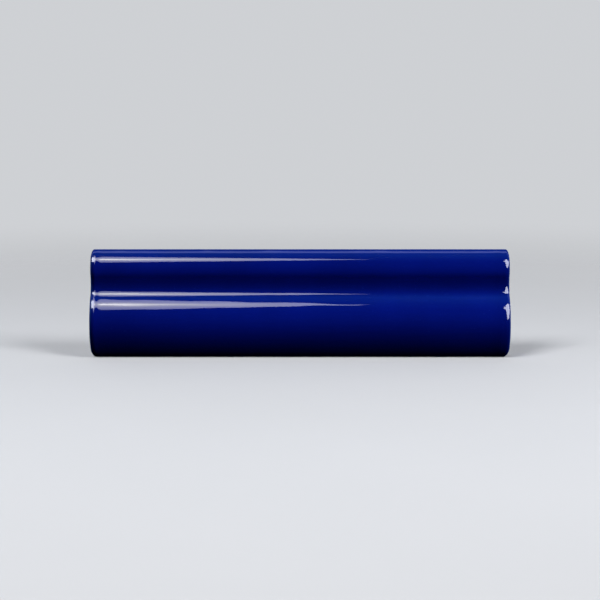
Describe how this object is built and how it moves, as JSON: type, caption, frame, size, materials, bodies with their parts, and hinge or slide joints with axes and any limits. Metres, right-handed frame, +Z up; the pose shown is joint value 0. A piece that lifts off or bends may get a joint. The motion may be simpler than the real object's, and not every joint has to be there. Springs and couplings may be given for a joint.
{
  "type": "ceramic moulding tile",
  "caption": "Straight ceramic trim tile with a small bead, a cove and a full torus along its face, dipped in deep blue gloss glaze, with a ribbed unglazed back for bonding.",
  "frame": {"origin": "middle of the footprint, on the surface that the tile stands on with its torus edge down", "axes": "+X along the tile, +Z up from the torus edge to the bead edge, +Y out of the ribbed back; the moulded face looks towards -Y"},
  "size_m": [0.2, 0.018, 0.051],
  "materials": {
    "cobalt_glaze": "thick high-gloss cobalt blue glaze",
    "white_engobe": "matt opaque white slip",
    "fired_clay": "matt, fine pressed grain",
    "kiln_wash": "chalky matt wash"
  },
  "bodies": {
    "root": {"clay_body": "fired_clay", "engobe_coat": "white_engobe", "glaze_coat": "cobalt_glaze", "kiln_wash": "kiln_wash"}
  },
  "joints": []
}
